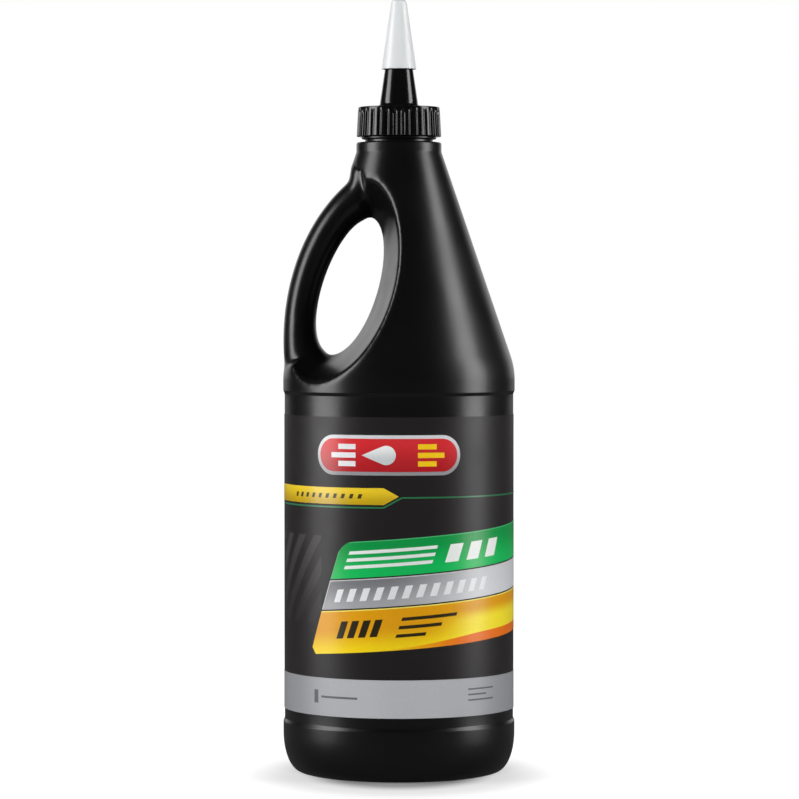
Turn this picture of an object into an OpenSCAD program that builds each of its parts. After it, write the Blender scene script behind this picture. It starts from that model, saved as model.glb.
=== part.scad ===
// Quart bottle for hydraulic oil: a blown body with a pass-through handle, a ribbed screw
// closure that carries a pouring spout, a pull-off tip cap and a wrap-round printed film.
// The axis of the bottle is Z, it stands on z = 0, and the handle is on its -X side.
// The front of the label looks along -Y.

/* [Body] */
// Radius of the body at the bead above the heel and at the band above the label
body_r = 43.2; // [41:0.1:46]
// Thickness of the blown wall
wall_t = 1; // [0.8:0.1:1.4]
// Outer radius of the ring that the bottle stands on
ring_r = 36.6; // [34:0.2:38]
// Width of that standing ring
ring_w = 3.2; // [2:0.2:5]
// Height of the push-up in the middle of the base
push_up = 3.4; // [2:0.2:5]
// Height of the rounded heel
heel_h = 14.6; // [12:0.2:17]
// Height of the base, from the floor to the label panel
base_h = 20; // [19:0.2:24]
// Depth of the label panel behind the beads
panel_d = 0.55; // [0.45:0.05:1]
// Height of the slope at either end of the panel
panel_step = 1.2; // [0.8:0.1:2]
// Height of the upright band between the panel and the shoulder
band_h = 5.2; // [3:0.2:8]
// Radius that rounds the band into the cone
shoulder_r = 27; // [20:0.5:34]
// Height of the shoulder, from the band to the collar
shoulder_h = 84.8; // [82:0.2:88]
// Radius of the collar at the top of the cone
collar_r = 15.85; // [15.2:0.05:17]
// Height of the upright collar
collar_h = 3.6; // [2:0.2:6]
// Rounding of the top edge of the collar
collar_round = 0.8; // [0.4:0.1:1.5]

/* [Handle] */
// Thickness of the handle at its widest reach, across the parting plane
handle_t = 12.2; // [11:0.1:14]
// Depth of the handle, along Y
handle_d = 17; // [15:0.2:20]
// How much deeper the handle is where it runs into the shoulder
handle_flare = 5; // [2:0.2:7]
// Half length of the finger hole
grip_l = 26.4; // [24:0.2:28]
// Half width of the finger hole
grip_w = 10.25; // [9:0.05:11.5]
// Lean of the finger hole towards the neck, in degrees
grip_lean = 17.9; // [15:0.1:20]
// How much fuller the lower end of the hole is than its upper end
grip_egg = 0.046; // [0:0.002:0.1]
// Height of the hole's middle above the foot of the shoulder
grip_up = 34.8; // [33:0.2:37]
// Half width of the ellipse that the back of the handle follows
bow_w = 52.9; // [50:0.1:56]
// Half height of that ellipse
bow_h = 70; // [67:0.5:73]
// Height of that ellipse's middle above the foot of the shoulder
bow_up = 14.8; // [12:0.2:18]
// Distance from the parting plane at which the mouth of the pocket is taken
pocket_y = 40; // [36:1:46]
// Half length of the pocket's mouth there
pocket_l = 55; // [52:0.5:58]
// Half width of the pocket's mouth there
pocket_w = 37.5; // [35:0.5:40]
// Lean of the pocket's mouth, in degrees
pocket_lean = 12.5; // [10:0.5:15]
// How far the mouth's middle lies outwards of the hole's middle
pocket_out = 16.8; // [15:0.1:19]
// How far the mouth's middle lies above the hole's middle
pocket_up = 14.4; // [12:0.2:17]
// Depth below the collar at which the pocket's arched top begins, over the root of the handle
pocket_down = 4.9; // [4:0.1:6]
// Half width of that arch, seen from the handle's side
arch_w = 30; // [27:0.5:33]
// Height of that arch
arch_h = 40; // [37:0.5:43]
// How far the floor of the arch lies inside the cone at its top
arch_d = 4; // [3:0.2:5]
// Height of the pocket's lower end above the foot of the shoulder, where it meets the outline
pocket_foot = 4.6; // [2:0.2:8]
// Thickness of the wall that lines the pocket, in the parting plane
pocket_t = 1.2; // [1:0.1:1.6]

/* [Neck] */
// Outer radius of the neck
neck_r = 12.6; // [12.4:0.05:12.9]
// Height of the neck above the collar
neck_h = 10.8; // [10.6:0.1:12]
// Radius of the bore
bore_r = 10.9; // [10:0.1:11.4]
// Radius of the bead under the closure
bead_r = 13.9; // [13.4:0.05:14.4]
// Height of that bead's lower edge above the collar
bead_up = 0.9; // [0.5:0.1:1.2]
// Height of that bead
bead_h = 1.1; // [0.8:0.1:1.4]
// Rise of the thread in one turn
pitch = 4.233; // [4:0.001:4.6]
// Height of the neck's thread above the neck
thread_d = 1.2; // [0.9:0.05:1.3]
// Width of the thread at its crest
crest_w = 1; // [0.8:0.05:1.2]
// Width of the thread at its root
root_w = 2; // [1.8:0.05:2.1]
// Height of the start of the neck's thread above the collar
thread_up = 4.3; // [4.2:0.05:4.5]
// Turns of the neck's thread
neck_turns = 1.25; // [1:0.05:1.3]
// Turns of the closure's thread
closure_turns = 1.5; // [1:0.05:1.55]

/* [Closure] */
// Outer radius of the closure at its top
closure_r = 15.15; // [15.1:0.05:16]
// Outer radius of the closure at its lower edge
skirt_r = 15.75; // [15.6:0.05:16.6]
// Height of the closure without its spout
closure_h = 11; // [10.4:0.1:11.2]
// Thickness of the closure's top
closure_top = 1.3; // [1.1:0.1:2]
// Clearance between the neck's thread and the closure
thread_fit = 0.25; // [0.2:0.01:0.35]
// Number of ribs
ribs = 32; // [24:1:40]
// Radius of the groove between two ribs
groove_r = 0.82; // [0.6:0.02:0.9]
// Depth of that groove
groove_d = 0.6; // [0.4:0.05:0.65]
// Height of the plain rim above the grooves
rim_h = 1.3; // [0.8:0.1:2]
// Chamfer of the closure's top edge
closure_edge = 0.4; // [0.2:0.05:0.6]
// Outer radius of the spout at its foot
spout_r = 7.3; // [6.9:0.05:7.8]
// Length of the spout
spout_l = 37.6; // [34:0.2:41]
// Slope of the spout, in degrees from the axis
spout_a = 8.3; // [7.4:0.1:8.4]
// Wall of the spout
spout_t = 0.95; // [0.8:0.05:1.1]
// Thickness of the sealing washer
washer_t = 1; // [0.8:0.1:1.3]
// Clearance round the sealing washer
washer_fit = 0.4; // [0.2:0.05:0.6]
// Radius of the hole in the sealing washer
washer_hole = 6.6; // [6.3:0.1:9]

/* [Tip cap] */
// Height of the cap's rim above the foot of the spout
cap_up = 14.1; // [10:0.1:18]
// Wall of the cap
cap_t = 1.1; // [0.9:0.05:1.3]
// Clearance between the spout and the cap
cap_fit = 0.15; // [0.1:0.01:0.25]
// Thickness of the cap's closed end
cap_end = 2; // [1.5:0.1:2.5]
// Rounding of the closed end
cap_round = 1.1; // [0.8:0.1:1.4]

/* [Label] */
// Height of the film's lower edge above the foot of the panel
film_up = 3.9; // [2.5:0.1:5]
// Height of the film
film_h = 109.4; // [104:0.2:116]
// Height of the bare panel above the film
film_over = 7.5; // [4:0.1:10]
// Thickness of the film
film_t = 0.12; // [0.08:0.01:0.14]
// Air between the film and the panel
film_fit = 0.03; // [0.02:0.01:0.05]
// Width of the overlap at the back
lap_w = 9; // [5:0.5:14]
// Thickness of a printed field
ink_t = 0.06; // [0.04:0.01:0.07]
// Height of the plain band along the lower edge of the film
foot_band_h = 13.9; // [11:0.1:16]
// Depth of the banner's lower edge below the film's upper edge
banner_down = 31.8; // [30:0.1:34]
// Height of the banner
banner_h = 6.1; // [5:0.1:7]
// Length of the banner's pointed end
banner_point = 5.5; // [3:0.1:8]
// Depth of the badge's middle below the film's upper edge
badge_down = 13.8; // [12:0.1:15]
// Width of the badge
badge_w = 56; // [50:0.5:60]
// Height of the badge
badge_h = 14.6; // [12:0.1:16]
// Width of the badge's rim
badge_rim = 1.3; // [0.8:0.1:1.6]
// How far the badge's middle lies to the left of the front
badge_left = 4.6; // [0:0.1:8]
// Slope of the stack, in degrees
stack_a = 4.2; // [3:0.1:5]
// Height of the lowest panel of the stack
yellow_h = 15.6; // [13:0.1:17]
// Height of the middle panel
silver_h = 10.6; // [9:0.1:12]
// Height of the top panel
green_h = 13.2; // [11:0.1:15]
// Left end of the stack's lower edge, to the left of the front
stack_left = 36.4; // [34:0.1:40]
// How far the left end of the stack leans to the right in one millimetre of height
stack_lean = 0.36; // [0.2:0.01:0.45]
// Length of the stack round the bottle, along its lower edge
stack_l = 112; // [90:1:125]

/* [Filling] */
// Depth of the oil's surface below the collar
fill_down = 8.5; // [6:0.5:60]
// Air between the oil and the wall, so that the two solids stay apart
oil_fit = 0.15; // [0.1:0.01:0.3]

/* [Hidden] */

black = "#1b1b1c";
gloss_black = "#101011";
film_black = "#231f20";
ink_silver = "#a5a7aa";
ink_green = "#1f9e4f";
ink_yellow = "#f6d117";
ink_red = "#c8202c";
ink_white = "#f4f4f2";
cap_white = "#eef0f0";
washer_grey = "#d8d6cf";
oil_amber = "#c98a2b";

// Heights, from the floor up
panel_z = base_h;
panel_h = film_up + film_h + film_over;
band_z = panel_z + panel_h;
shoulder_z = band_z + band_h;
panel_r = body_r - panel_d;
collar_z = shoulder_z + shoulder_h;
land_z = collar_z + collar_h;
neck_top = land_z + neck_h;
washer_z = neck_top;
ceiling_z = washer_z + washer_t;
spout_z = ceiling_z + closure_top;
skirt_z = spout_z - closure_h;

// Slope of the cone, in degrees from the axis: it leaves the shoulder's rounding as its tangent
// and ends at the collar
cone_run = collar_r - body_r + shoulder_r;
cone_a = atan2(shoulder_h, cone_run) - acos(shoulder_r / norm([cone_run, shoulder_h]));

// Where the shoulder's rounding meets the cone, for a skin that lies d inside the outside
function round_r(d) = body_r - shoulder_r + (shoulder_r - d) * cos(cone_a);
function round_z(d) = shoulder_z + (shoulder_r - d) * sin(cone_a);
function cone_top(d) = round_z(d) + (round_r(d) - collar_r + d) / tan(cone_a);

// Points of an arc in the plane of the outline
function arc(cx, cz, rx, rz, a0, a1, n) =
    [for (i = [0 : n]) let (a = a0 + (a1 - a0) * i / n) [cx + rx * cos(a), cz + rz * sin(a)]];

// Width of the slope between the standing ring and the push-up
push_slope = 4.8;
// Least rounding of the collar's inner edge
collar_least = 0.16;

// Half outline of the blown body, drawn inwards by d
function body_outline(d) = concat(
    [[0, push_up + d],
     [ring_r - ring_w - push_slope, push_up + d],
     [ring_r - ring_w, d]],
    arc(ring_r, heel_h, body_r - ring_r - d, heel_h - d, -90, 0, 10),
    [[body_r - d, panel_z - panel_step],
     [panel_r - d, panel_z],
     [panel_r - d, band_z],
     [body_r - d, band_z + panel_step]],
    arc(body_r - shoulder_r, shoulder_z, shoulder_r - d, shoulder_r - d, 0, cone_a, 6),
    [[collar_r - d, cone_top(d)]],
    arc(collar_r - collar_round, land_z - collar_round, max(collar_round - d, collar_least),
        collar_round - d, 0, 90, 4),
    [[0, land_z - d]]);

// A solid skinned over rings that have as many points each
module skin(rings) {
    n = len(rings[0]);
    m = len(rings);
    sides = [for (k = [0 : m - 2], j = [0 : n - 1])
        let (a = k * n + j, b = k * n + (j + 1) % n, c = b + n, e = a + n)
        each [[a, c, b], [a, e, c]]];
    first = [for (j = [0 : n - 1]) j];
    last = [for (j = [n - 1 : -1 : 0]) (m - 1) * n + j];
    polyhedron(points = [for (ring = rings) each ring], faces = concat([first], sides, [last]));
}

// The finger hole is an egg-shaped ellipse in the parting plane
hole_reach = sqrt(pow(grip_w * cos(grip_lean), 2) + pow(grip_l * sin(grip_lean), 2));
hole_x = hole_reach - (body_r - handle_t);
hole_z = shoulder_z + grip_up;

function leaning_oval(cx, cz, l, w, lean, egg, t) =
    let (u = l * cos(t), v = w * sin(t) * (1 - egg * cos(t)))
    [cx + u * sin(lean) - v * cos(lean), cz + u * cos(lean) + v * sin(lean)];

function hole_point(t, grow) =
    leaning_oval(hole_x, hole_z, grip_l + grow, grip_w + grow, grip_lean, grip_egg, t);
function mouth_point(t, grow) =
    leaning_oval(hole_x - pocket_out, hole_z + pocket_up, pocket_l + grow, pocket_w + grow,
                 pocket_lean, 0, t);

oval_steps = 48;

// The drafted pocket that is sunk into both faces of the shoulder and meets at the hole
module pocket(grow) {
    skin([for (side = [1, 0, -1])
        [for (i = [0 : oval_steps - 1])
            let (t = 360 * i / oval_steps, p = side == 0 ? hole_point(t, grow) : mouth_point(t, grow))
            [p[0], side * pocket_y, p[1]]]]);
}

// Under the arch nothing of the cone is left outside the hole, where the handle takes its place
clear_share = 0.85;
arch_steps = 20;
pocket_top = collar_z - pocket_down;

function cone_r(z) = collar_r + (collar_z - z) * tan(cone_a);
function hole_axis(u) = [hole_x + u * sin(grip_lean), hole_z + u * cos(grip_lean)];

module handle_clearing(grow) {
    arch_z = pocket_top - arch_h;
    foot_z = shoulder_z + pocket_foot;
    high = hole_axis(grip_l * clear_share);
    low = hole_axis(-grip_l * clear_share);
    intersection() {
        rotate([90, 0, 0])
            linear_extrude(height = pocket_y * 2, center = true)
                polygon([[high[0] + grow, high[1]],
                         [arch_d - cone_r(pocket_top) + grow, pocket_top + grow],
                         [-body_r * 2, pocket_top + grow],
                         [-body_r * 2, foot_z - grow],
                         [-body_r, foot_z - grow],
                         [low[0] + grow, low[1]]]);
        rotate([90, 0, -90])
            linear_extrude(height = body_r * 2)
                polygon(concat(arc(0, arch_z, arch_w + grow, arch_h + grow, 0, 180, arch_steps),
                               [[-arch_w - grow, band_z], [arch_w + grow, band_z]]));
    }
}

// The handle is an oval tube between the hole and the bow that its back follows
handle_first = 12;
handle_last = 174;
handle_steps = 18;
handle_sides = 18;
handle_lip = 0.4;
bow_start = 63;
bow_rate = 0.4467;
bow_x = bow_w - body_r;
bow_z = shoulder_z + bow_up;

function bow_point(t) =
    let (s = bow_start - bow_rate * t)
    [bow_x - bow_w * cos(s), bow_z + bow_h * sin(s)];

// One ring of the tube from an inner point p to an outer point q, half_d deep, d inside the outside
function tube_ring(p, q, half_d, d) =
    let (u = (q - p) / norm(q - p), c = (p + q) / 2, a = norm(q - p) / 2 - d, b = half_d - d)
    [for (j = [0 : handle_sides - 1])
        let (f = 360 * j / handle_sides)
        [c[0] + u[0] * a * cos(f), b * sin(f), c[1] + u[1] * a * cos(f)]];

function tube_station(t, d) =
    let (p = hole_point(t, -handle_lip), q = bow_point(t), low = pow(max(0, (t - 90) / 90), 2))
    tube_ring(p, q, handle_d / 2 + handle_flare / 2 * low, d);

// Both ends of the tube run on into the body and end inside it. At its upper end the back of the
// handle turns up first and meets the cone at the top of the arch.
root_in = 9;
root_turn = 4;
root_deep = 12;
root_thin = 1;
nub_in = 0.2;

module handle_tube(d) {
    top_p = hole_point(handle_first, 0);
    top_d = handle_d / 2 - root_thin;
    nub = [nub_in - cone_r(pocket_top), pocket_top];
    low_p = hole_point(handle_last, 0);
    low_q = bow_point(handle_last);
    skin(concat(
        [tube_ring(top_p + [root_in, root_deep], nub + [root_in, root_turn / 2], top_d, d),
         tube_ring(top_p + [root_turn, root_in], nub, top_d, d)],
        [for (i = [0 : handle_steps])
            tube_station(handle_first + (handle_last - handle_first) * i / handle_steps, d)],
        [tube_ring(low_p + [root_turn, -root_in], low_q + [root_in, -root_turn], handle_d / 2, d)]));
}

// The blown skin, drawn inwards by d, with the pocket's lining drawn in by lining
module vessel(d, lining) {
    difference() {
        rotate_extrude($fn = 128) polygon(body_outline(d));
        pocket(lining);
        handle_clearing(lining);
    }
    handle_tube(d);
}

// A helical ridge from angle a0 to a1, whose middle passes height z at angle 0
thread_step = 12;
thread_bury = 0.3;
thread_run = 36;
thread_least = 0.06;

module helix_ridge(root, crest, a0, a1, z) {
    side = sign(crest - root);
    n = ceil((a1 - a0) / thread_step);
    rings = [for (i = [0 : n])
        let (a = a0 + (a1 - a0) * i / n,
             f = min(1, (a - a0) / thread_run, (a1 - a) / thread_run),
             tip = root + (crest - root) * max(thread_least, f),
             half_tip = (crest_w + (root_w - crest_w) * (1 - f)) / 2,
             foot = root - side * thread_bury,
             h = z + pitch * a / 360)
        [for (p = [[foot, -root_w / 2], [tip, -half_tip], [tip, half_tip], [foot, root_w / 2]])
            [p[0] * cos(a), p[0] * sin(a), h + p[1]]]];
    ordered = side > 0 ? [for (r = rings) [r[3], r[2], r[1], r[0]]] : rings;
    skin(ordered);
}

// Shares of the bead's height that its lower slope and its upper chamfer take
bead_slope = 0.35;
bead_chamfer = 0.2;

module neck_outside() {
    translate([0, 0, land_z - wall_t])
        cylinder(r = neck_r, h = neck_h + wall_t, $fn = 96);
    translate([0, 0, land_z + bead_up])
        rotate_extrude($fn = 96)
            polygon([[bore_r, 0], [neck_r, 0], [bead_r, bead_h * bead_slope],
                     [bead_r, bead_h * (1 - bead_chamfer)],
                     [bead_r - bead_h * bead_chamfer, bead_h], [bore_r, bead_h]]);
    helix_ridge(neck_r, neck_r + thread_d, 0, 360 * neck_turns, land_z + thread_up);
}

module bottle() {
    color(black)
        difference() {
            union() {
                vessel(0, 0);
                neck_outside();
            }
            vessel(wall_t, pocket_t);
            translate([0, 0, land_z - wall_t * 2])
                cylinder(r = bore_r, h = neck_h + wall_t * 4, $fn = 96);
        }
}

// The oil fills the cavity up to the fill line
module oil() {
    surface_z = collar_z - fill_down;
    color(oil_amber)
        difference() {
            vessel(wall_t + oil_fit, pocket_t + oil_fit);
            translate([-body_r * 2, -body_r * 2, surface_z])
                cube([body_r * 4, body_r * 4, land_z]);
        }
}

film_r = panel_r + film_fit;
film_z = panel_z + film_up;
print_r = film_r + film_t;

// A thin sleeve, or a sector of one whose middle is at angle mid, between two heights
module sleeve(r, t, z, h, a = 360, mid = 90) {
    translate([0, 0, z])
        rotate([0, 0, mid - a / 2])
            rotate_extrude(angle = a, $fn = 180)
                translate([r, 0])
                    square([t, h]);
}

function arc_angle(s) = s / print_r * 180 / PI;

module label_film() {
    color(film_black) {
        sleeve(film_r, film_t, film_z, film_h);
        sleeve(print_r, film_t, film_z, film_h, arc_angle(lap_w));
    }
}

// A printed field is a run of flat strips of at most this length, so its corners lie out by their sag
ink_step = 4;
ink_sag = print_r * (1 / cos(arc_angle(ink_step) / 2) - 1);
ink_gap = 0.02;
ink_tip = 0.1;
lap_margin = 1;
layer = ink_t + ink_gap + ink_sag;

function print_at(r, s, h) =
    let (a = arc_angle(s) - 90)
    [r * cos(a), r * sin(a), film_z + h];

// A printed field on the film. Marks are lengths round the bottle from the front, to the right,
// and top and foot give the heights of its two edges there.
module field(marks, top, foot, over = 0) {
    r0 = print_r + ink_gap + ink_sag + layer * over;
    r1 = r0 + ink_t;
    last = len(marks) - 1;
    stations = concat(
        [for (i = [0 : last - 1])
            let (n = max(1, ceil((marks[i + 1] - marks[i]) / ink_step)))
            each [for (j = [0 : n - 1]) marks[i] + (marks[i + 1] - marks[i]) * j / n]],
        [marks[last]]);
    skin([for (s = stations)
        let (low = lookup(s, foot), high = max(lookup(s, top), low + ink_tip))
        [print_at(r0, s, low), print_at(r0, s, high), print_at(r1, s, high), print_at(r1, s, low)]]);
}

module foot_band() {
    color(ink_silver)
        sleeve(print_r + ink_gap, ink_t, film_z, foot_band_h,
               360 - arc_angle(lap_w + lap_margin * 2), -90);
}

badge_up = film_h - badge_down;
banner_up = film_h - banner_down;

// A capsule with round ends round the middle of the badge
module capsule(w, h, over) {
    r = h / 2;
    flat = w / 2 - r;
    steps = 8;
    bend = [for (i = [0 : steps]) [-flat - r * cos(90 * i / steps), r * sin(90 * i / steps)]];
    half = concat(bend, [for (i = [steps : -1 : 0]) [-bend[i][0], bend[i][1]]]);
    field([for (p = half) p[0] - badge_left],
          [for (p = half) [p[0] - badge_left, badge_up + p[1]]],
          [for (p = half) [p[0] - badge_left, badge_up - p[1]]], over);
}

module badge_rim_print() {
    color(ink_silver)
        capsule(badge_w, badge_h, 0);
}

module badge_field() {
    color(ink_red)
        capsule(badge_w - badge_rim * 2, badge_h - badge_rim * 2, 1);
}

// A drop that lies on its side in the middle of the badge, its point to the left
drop_share = 0.24;
drop_reach = 2.6;

module badge_drop() {
    r = badge_h * drop_share;
    point = r * drop_reach;
    steps = 10;
    turn = acos(r / point);
    bend = [for (i = [0 : steps])
        let (a = 180 - turn - (180 - turn) * i / steps)
        [r * cos(a), r * sin(a)]];
    half = concat([[-point, 0]], bend);
    color(ink_white)
        field([for (p = half) p[0] - badge_left],
              [for (p = half) [p[0] - badge_left, badge_up + p[1]]],
              [for (p = half) [p[0] - badge_left, badge_up - p[1]]], 2);
}

back_edge = PI * print_r - lap_w / 2 - lap_margin;

// A band round the left of the bottle that ends in a point at the front
module banner_print() {
    mid = banner_up + banner_h / 2;
    marks = [-back_edge, -banner_point, 0];
    color(ink_yellow)
        field(marks,
              [[marks[0], banner_up + banner_h], [marks[1], banner_up + banner_h], [0, mid]],
              [[marks[0], banner_up], [marks[1], banner_up], [0, mid]]);
}

// The thin line under the banner, which runs on round the right of the bottle
line_w = 0.7;
line_gap = 0.6;
line_up = banner_up - line_gap - line_w;

module banner_line() {
    rise = banner_h / 2 + line_gap;
    marks = [-back_edge, -banner_point, line_gap * 2, back_edge];
    color(ink_green)
        field(marks,
              [[marks[0], line_up + line_w], [marks[1], line_up + line_w],
               [marks[2], line_up + rise + line_w], [marks[3], line_up + rise + line_w]],
              [[marks[0], line_up], [marks[1], line_up], [marks[2], line_up + rise],
               [marks[3], line_up + rise]]);
}

// One panel of the sloping stack, from height low to height low + h at the front
module stack_panel(low, h) {
    k = tan(stack_a);
    lean = stack_lean;
    x0 = -stack_left + lean * (low - stack_up);
    x1 = x0 + lean * h;
    x2 = stack_l - stack_left;
    field([x0, x1, x2],
          [[x0, low + k * x0], [x1, low + h + k * x1], [x2, low + h + k * x2]],
          [[x0, low + k * x0], [x2, low + k * x2]]);
}

// The stack stands midway between the foot band and the line under the banner
stack_gap = 0.5;
stack_h = yellow_h + silver_h + green_h + stack_gap * 2;
stack_up = foot_band_h + (line_up - foot_band_h - stack_h) / 2;
silver_up = stack_up + yellow_h + stack_gap;
green_up = silver_up + silver_h + stack_gap;

module yellow_panel() {
    color(ink_yellow)
        stack_panel(stack_up, yellow_h);
}

module silver_panel() {
    color(ink_silver)
        stack_panel(silver_up, silver_h);
}

module green_panel() {
    color(ink_green)
        stack_panel(green_up, green_h);
}

inner_r = neck_r + thread_d + thread_fit;

module sealing_washer() {
    color(washer_grey)
        translate([0, 0, washer_z])
            difference() {
                cylinder(r = inner_r - washer_fit, h = washer_t, $fn = 96);
                translate([0, 0, -washer_t])
                    cylinder(r = washer_hole, h = washer_t * 3, $fn = 96);
            }
}

function spout_at(z) = spout_r - (z - spout_z) * tan(spout_a);
spout_tip = spout_z + spout_l;
skirt_lean = atan((skirt_r - closure_r) / closure_h);
spout_fillet = 0.8;

// Half outline of the closure and its spout
module closure_outline() {
    foot = spout_at(spout_z);
    tip = spout_at(spout_tip);
    polygon(concat(
        [[inner_r, skirt_z],
         [skirt_r - closure_edge / 2, skirt_z],
         [skirt_r, skirt_z + closure_edge / 2],
         [closure_r, spout_z - closure_edge],
         [closure_r - closure_edge, spout_z]],
        arc(foot + spout_fillet, spout_z + spout_fillet, spout_fillet, spout_fillet, 270, 180, 5),
        [[tip, spout_tip],
         [tip - spout_t, spout_tip],
         [foot - spout_t, spout_z],
         [foot - spout_t, ceiling_z],
         [inner_r, ceiling_z]]));
}

// The closure's thread lies half a turn's rise under the neck's
closure_from = 105;
crest_gap = 0.1;

module spout_closure() {
    groove_h = closure_h - rim_h;
    color(gloss_black)
        difference() {
            union() {
                rotate_extrude($fn = 128) closure_outline();
                helix_ridge(inner_r, neck_r + thread_fit + crest_gap, closure_from,
                            closure_from + 360 * closure_turns, land_z + thread_up - pitch / 2);
            }
            for (i = [0 : ribs - 1])
                rotate([0, 0, 360 * (i + 0.5) / ribs])
                    translate([skirt_r + groove_r - groove_d, 0, skirt_z])
                        rotate([0, -skirt_lean, 0])
                            translate([0, 0, -groove_r])
                                cylinder(r = groove_r, h = groove_h + groove_r, $fn = 24);
        }
}

cap_z = spout_z + cap_up;

// The cap is a long hollow cone that is pushed on over the spout's tip
module tip_cap() {
    grip = cap_fit / cos(spout_a);
    inside_top = spout_tip + cap_fit * 2;
    top_z = inside_top + cap_end;
    skin_t = grip + cap_t;
    rim_in = spout_at(cap_z) + grip;
    top_r = spout_at(top_z) + skin_t;
    color(cap_white)
        rotate_extrude($fn = 96)
            polygon(concat(
                [[rim_in, cap_z],
                 [spout_at(cap_z) + skin_t, cap_z]],
                arc(top_r - cap_round, top_z - cap_round, cap_round, cap_round, spout_a, 90, 6),
                [[0, top_z],
                 [0, inside_top],
                 [spout_at(inside_top) + grip, inside_top]]));
}

bottle();
oil();
label_film();
foot_band();
badge_rim_print();
badge_field();
badge_drop();
banner_print();
banner_line();
green_panel();
silver_panel();
yellow_panel();
sealing_washer();
spout_closure();
tip_cap();
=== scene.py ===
import math
import bmesh
import bpy
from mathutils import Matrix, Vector
from mathutils.kdtree import KDTree


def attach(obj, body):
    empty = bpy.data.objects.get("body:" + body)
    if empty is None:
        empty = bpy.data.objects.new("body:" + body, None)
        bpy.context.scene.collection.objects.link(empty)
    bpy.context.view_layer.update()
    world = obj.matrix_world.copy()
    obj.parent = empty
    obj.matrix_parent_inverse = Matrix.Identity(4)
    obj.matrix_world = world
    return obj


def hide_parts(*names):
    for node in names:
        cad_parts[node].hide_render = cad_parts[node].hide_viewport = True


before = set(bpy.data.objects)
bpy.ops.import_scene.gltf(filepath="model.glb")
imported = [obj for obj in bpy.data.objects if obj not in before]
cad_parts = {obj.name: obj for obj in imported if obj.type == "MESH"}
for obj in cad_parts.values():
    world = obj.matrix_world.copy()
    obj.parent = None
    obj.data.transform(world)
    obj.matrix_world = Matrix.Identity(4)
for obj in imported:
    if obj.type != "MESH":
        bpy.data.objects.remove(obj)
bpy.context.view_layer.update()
mm = 0.001
print("stage: frame loaded")

# heights and radii in millimetres, the same as in the construction
body = {"bodyR": 43.18, "panelR": 42.65, "shoulderZ": 146.0, "shoulderR": 27.0, "shoulderH": 84.8, "collarR": 15.85,
        "collarH": 3.6, "neckH": 10.8, "neckR": 12.6, "ledgeR": 13.9, "boreR": 10.9, "wall": 1.0, "steps": 192}
thread = {"neckR": 13.8, "skirtR": 14.05, "closureR": 12.95, "pitch": 4.233, "crestW": 1.0, "rootW": 2.0, "up": 4.3}
collarZ = body["shoulderZ"] + body["shoulderH"]
landZ = collarZ + body["collarH"]
neckTop = landZ + body["neckH"]
coneRun = body["collarR"] - body["bodyR"] + body["shoulderR"]
coneReach = math.hypot(coneRun, body["shoulderH"])
coneSlope = math.atan2(body["shoulderH"], coneRun) - math.acos(body["shoulderR"] / coneReach)
hole = {"x": -18.312, "z": 180.8, "half": 26.4, "width": 10.25, "lean": 17.9, "egg": 0.046}
mouth = {"x": -35.112, "z": 195.2, "half": 55.0, "width": 37.5, "lean": 12.5, "egg": 0.0, "y": 40.0}
arch = {"top": collarZ - 4.9, "halfW": 30.0, "height": 40.0, "floorIn": 4.0, "foot": 150.6, "share": 0.85}
handle = {"depth": 17.0, "flare": 5.0, "bowW": 52.9, "bowH": 70.0, "bowX": 9.7, "bowZ": 160.8, "lip": 0.4,
          "first": 12.0, "last": 174.0, "rings": 44, "sides": 40, "nubIn": -0.4}


def deselectAll():
    if bpy.context.object and bpy.context.object.mode != "OBJECT":
        bpy.ops.object.mode_set(mode="OBJECT")
    bpy.ops.object.select_all(action="DESELECT")


def activate(piece):
    deselectAll()
    piece.select_set(True)
    bpy.context.view_layer.objects.active = piece


def editAll(piece):
    activate(piece)
    bpy.ops.object.mode_set(mode="EDIT")
    bpy.ops.mesh.select_all(action="SELECT")


def leaveEdit():
    bpy.ops.object.mode_set(mode="OBJECT")


def applyAll(piece):
    activate(piece)
    for modifier in list(piece.modifiers):
        bpy.ops.object.modifier_apply(modifier=modifier.name)


def joinPieces(first, others):
    activate(first)
    for other in others:
        other.select_set(True)
    bpy.ops.object.join()
    return first


def cleanUp(piece, gap=0.002, outward=True):
    editAll(piece)
    bpy.ops.mesh.remove_doubles(threshold=gap * mm)
    if outward:
        bpy.ops.mesh.normals_make_consistent(inside=False)
    leaveEdit()


def smoothShade(piece, angle=35):
    activate(piece)
    bpy.ops.object.shade_smooth_by_angle(angle=math.radians(angle), keep_sharp_edges=True)


def ramp01(t):
    t = max(0.0, min(1.0, t))
    return t * t * (3 - 2 * t)


def arcPoints(cx, cz, rx, rz, start, end, count):
    return [(cx + rx * math.cos(math.radians(start + (end - start) * i / count)),
             cz + rz * math.sin(math.radians(start + (end - start) * i / count))) for i in range(count + 1)]


def rounded(corners, segments=5):
    # corners are (radius from the axis, height, rounding); a rounded corner becomes a short arc
    points = []
    for i, corner in enumerate(corners):
        here = Vector(corner[:2])
        if len(corner) < 3 or not corner[2] or i in (0, len(corners) - 1):
            points.append(tuple(here))
            continue
        back = (Vector(corners[i - 1][:2]) - here)
        ahead = (Vector(corners[i + 1][:2]) - here)
        half = back.angle(ahead) / 2
        reach = min(corner[2] / math.tan(half), back.length * 0.49, ahead.length * 0.49)
        start = here + back.normalized() * reach
        end = here + ahead.normalized() * reach
        for k in range(segments + 1):
            t = k / segments
            points.append(tuple(start * (1 - t) ** 2 + here * 2 * t * (1 - t) + end * t * t))
    return points


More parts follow.
